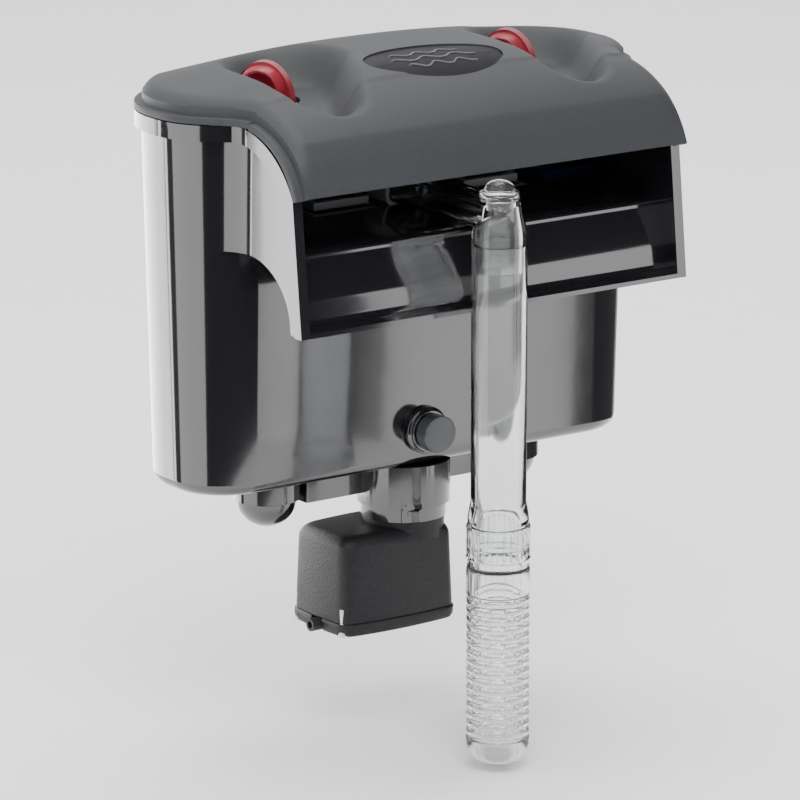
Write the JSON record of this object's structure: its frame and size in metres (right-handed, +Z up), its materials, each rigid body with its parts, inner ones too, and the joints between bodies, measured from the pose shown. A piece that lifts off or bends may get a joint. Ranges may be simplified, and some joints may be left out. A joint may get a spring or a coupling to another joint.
{
  "type": "hang-on-back aquarium filter",
  "caption": "Aquarium filter that hangs on a tank rim: glossy case with waterfall chute, scooped lid, flow knobs, pump below and clear intake tube with strainer.",
  "frame": {"origin": "midway along and across the flat underside of the hook, where it rests on the tank's rim", "axes": "+Z up, -Y into the tank, +Y away from it, +X to the right seen from inside the tank"},
  "size_m": [0.2248, 0.148, 0.2768],
  "materials": {
    "case_gloss": "high-gloss near-black moulded plastic",
    "lid_matte": "fine spark-grained dark grey plastic",
    "badge_black": "satin near-black inlay",
    "knob_red": "satin crimson plastic",
    "motor_matte": "finely textured charcoal plastic",
    "clear_plastic": "clear moulded plastic",
    "rubber_black": "black elastomer",
    "steel": "plain steel",
    "ceramic": "smooth technical ceramic",
    "copper": "enamelled copper winding",
    "magnet": "bonded ferrite magnet",
    "basket_grey": "grey moulded plastic",
    "sponge_blue": "open-cell blue foam",
    "floss_white": "white filter floss",
    "carbon_bag": "mesh bag of activated carbon",
    "bio_clay": "sintered clay media"
  },
  "bodies": {
    "case": {"filter_case": "case_gloss", "flow_manifold": "case_gloss", "left_valve_cup": "case_gloss", "right_valve_cup": "case_gloss", "left_stem_seal": "rubber_black", "right_stem_seal": "rubber_black", "volute_cover": "basket_grey", "riser_duct": "basket_grey", "intake_elbow": "clear_plastic", "elbow_plug": "clear_plastic", "left_media_basket": "basket_grey", "right_media_basket": "basket_grey", "left_sponge": "sponge_blue", "right_sponge": "sponge_blue", "floss_pad": "floss_white", "carbon_cartridge": "carbon_bag", "bio_media": "bio_clay"},
    "lid": {"lid": "lid_matte", "badge_plate": "badge_black"},
    "left_knob": {"left_flow_knob": "knob_red", "left_valve_stem": "basket_grey", "left_valve_plug": "ceramic"},
    "right_knob": {"right_flow_knob": "knob_red", "right_valve_stem": "basket_grey", "right_valve_plug": "ceramic"},
    "levelling_nut": {"levelling_ring": "rubber_black"},
    "levelling_screw": {"levelling_foot": "case_gloss"},
    "motor": {"motor_housing": "motor_matte", "motor_base_plate": "motor_matte", "base_screw_1": "steel", "base_screw_2": "steel", "base_screw_3": "steel", "base_screw_4": "steel", "cable_grommet": "rubber_black", "stator_core": "steel", "stator_coil": "copper", "rotor_shaft": "ceramic", "lower_bush": "rubber_black", "upper_bush": "rubber_black", "motor_oring": "rubber_black"},
    "rotor": {"impeller": "basket_grey", "magnet_rotor": "magnet"},
    "tube": {"intake_tube": "clear_plastic"},
    "strainer": {"strainer_collar": "clear_plastic", "strainer_oring": "rubber_black", "strainer_screen": "clear_plastic", "strainer_cap": "clear_plastic"},
    "left_handle": {"left_basket_handle": "basket_grey"},
    "right_handle": {"right_basket_handle": "basket_grey"}
  },
  "joints": [
    {"name": "lid_lift", "type": "slide", "parent": "case", "child": "lid", "axis": [0, 0, 1], "range_m": [0, 0.06]},
    {"name": "left_knob_turn", "type": "hinge", "parent": "case", "child": "left_knob", "pos_m": [-0.0595, 0.0385, 0], "axis": [0, 0, 1], "range_deg": [-45, 45]},
    {"name": "right_knob_turn", "type": "hinge", "parent": "case", "child": "right_knob", "pos_m": [0.0595, 0.0385, 0], "axis": [0, 0, 1], "range_deg": [-45, 45]},
    {"name": "levelling_foot_slide", "type": "slide", "parent": "case", "child": "levelling_screw", "axis": [0, -1, 0], "range_m": [0, 0.003]},
    {"name": "levelling_ring_turn", "type": "hinge", "parent": "case", "child": "levelling_nut", "pos_m": [-0.002, 0, -0.0854], "axis": [0, -1, 0], "range_deg": [0, 540]},
    {"name": "motor_twist", "type": "hinge", "parent": "case", "child": "motor", "pos_m": [0, 0.0275, -0.13], "axis": [0, 0, 1], "range_deg": [0, 25]},
    {"name": "impeller_spin", "type": "hinge", "parent": "motor", "child": "rotor", "pos_m": [0, 0.0275, -0.13], "axis": [0, 0, 1], "continuous": true},
    {"name": "tube_swivel", "type": "hinge", "parent": "case", "child": "tube", "pos_m": [-0.009, -0.0495, 0], "axis": [0, 0, 1], "continuous": true},
    {"name": "strainer_pull", "type": "slide", "parent": "tube", "child": "strainer", "axis": [0, 0, -1], "range_m": [0, 0.02]},
    {"name": "left_handle_fold", "type": "hinge", "parent": "case", "child": "left_handle", "pos_m": [-0.03675, 0.04025, 0.0104], "axis": [-1, 0, 0], "range_deg": [0, 90]},
    {"name": "right_handle_fold", "type": "hinge", "parent": "case", "child": "right_handle", "pos_m": [0.03675, 0.04025, 0.0104], "axis": [-1, 0, 0], "range_deg": [0, 90]}
  ],
  "couplings": [
    {"joint": "levelling_ring_turn", "follows": "levelling_foot_slide", "rad_per_m": 3141.6}
  ]
}
